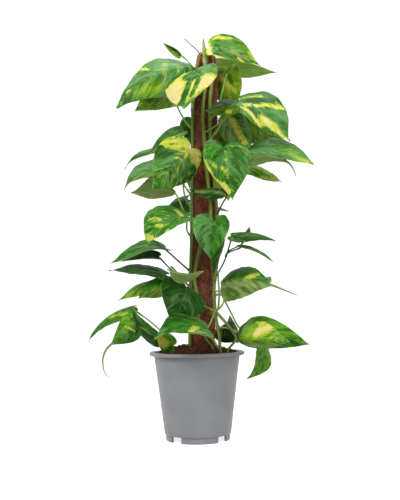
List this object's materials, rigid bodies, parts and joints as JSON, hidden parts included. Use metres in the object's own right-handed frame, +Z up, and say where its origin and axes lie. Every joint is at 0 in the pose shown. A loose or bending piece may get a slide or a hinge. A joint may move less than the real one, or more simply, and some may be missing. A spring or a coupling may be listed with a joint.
{
  "type": "potted scindapsus",
  "caption": "Climbing scindapsus with heart-shaped, yellow-splashed leaves on a coir pole, planted in a plain round nursery pot on low feet.",
  "frame": {"origin": "centre of the foliage's outline in plan, on the plane that the pot's feet stand on, which is also the pot's axis within 2 mm", "axes": "+Z up along the pot's axis, -Y towards the side with the broadest leaves, +X to the right seen from there"},
  "size_m": [0.3545, 0.2532, 0.6551],
  "materials": {
    "grey_plastic": "satin",
    "potting_soil": "rough",
    "stake_wood": "rough",
    "coir": "rough",
    "stem": "satin",
    "leaf_green": "satin",
    "leaf_variegated": "satin",
    "leaf_young": "satin"
  },
  "bodies": {
    "root": {"pot": "grey_plastic", "soil": "potting_soil", "pole_stake": "stake_wood", "coir_sleeve": "coir", "stem_left": "stem", "stem_front": "stem", "stem_right": "stem", "stem_back": "stem", "stem_arch": "stem", "leaf_top_left_large": "leaf_green", "leaf_top_left_under": "leaf_green", "leaf_top_front_cream": "leaf_variegated", "leaf_top_left_young": "leaf_green", "leaf_top_rolled": "leaf_young", "leaf_top_right_large": "leaf_variegated", "leaf_top_right_under": "leaf_green", "leaf_upper_right_hanging": "leaf_green", "leaf_right_large": "leaf_variegated", "leaf_front_small_dark": "leaf_green", "leaf_right_striped": "leaf_variegated", "leaf_right_shaded": "leaf_green", "leaf_right_far": "leaf_green", "leaf_right_far_under": "leaf_green", "leaf_right_narrow": "leaf_green", "leaf_front_heart": "leaf_green", "leaf_left_front_yellow": "leaf_variegated", "leaf_left_upper_narrow": "leaf_green", "leaf_left_back_narrow": "leaf_green", "leaf_left_middle_folded": "leaf_green", "leaf_left_pale_under": "leaf_green", "leaf_left_variegated": "leaf_variegated", "leaf_left_dark_back": "leaf_green", "leaf_left_low_long": "leaf_green", "leaf_left_low_dark": "leaf_green", "leaf_left_level": "leaf_green", "leaf_front_young_fold": "leaf_green", "leaf_front_bridge": "leaf_green", "leaf_front_middle": "leaf_green", "leaf_right_hanging_dark": "leaf_green", "shoot_right": "leaf_green", "leaf_right_low_large": "leaf_green", "leaf_low_right_large": "leaf_green", "leaf_low_right_cream": "leaf_variegated", "leaf_low_right_drooping": "leaf_green", "leaf_low_left_large": "leaf_green", "leaf_low_left_front": "leaf_green", "leaf_low_left_bright": "leaf_green", "leaf_low_left_olive": "leaf_green", "shoot_low_left": "leaf_green", "leaf_low_right_shade": "leaf_green", "leaf_back_top": "leaf_green", "leaf_back_upper_left": "leaf_green", "leaf_back_upper_right": "leaf_green", "leaf_back_middle": "leaf_green", "leaf_back_middle_right": "leaf_green", "leaf_back_low_middle": "leaf_green", "leaf_back_left": "leaf_green", "leaf_back_low_left": "leaf_green", "leaf_back_low_right": "leaf_green", "leaf_back_foot": "leaf_green"}
  },
  "joints": []
}
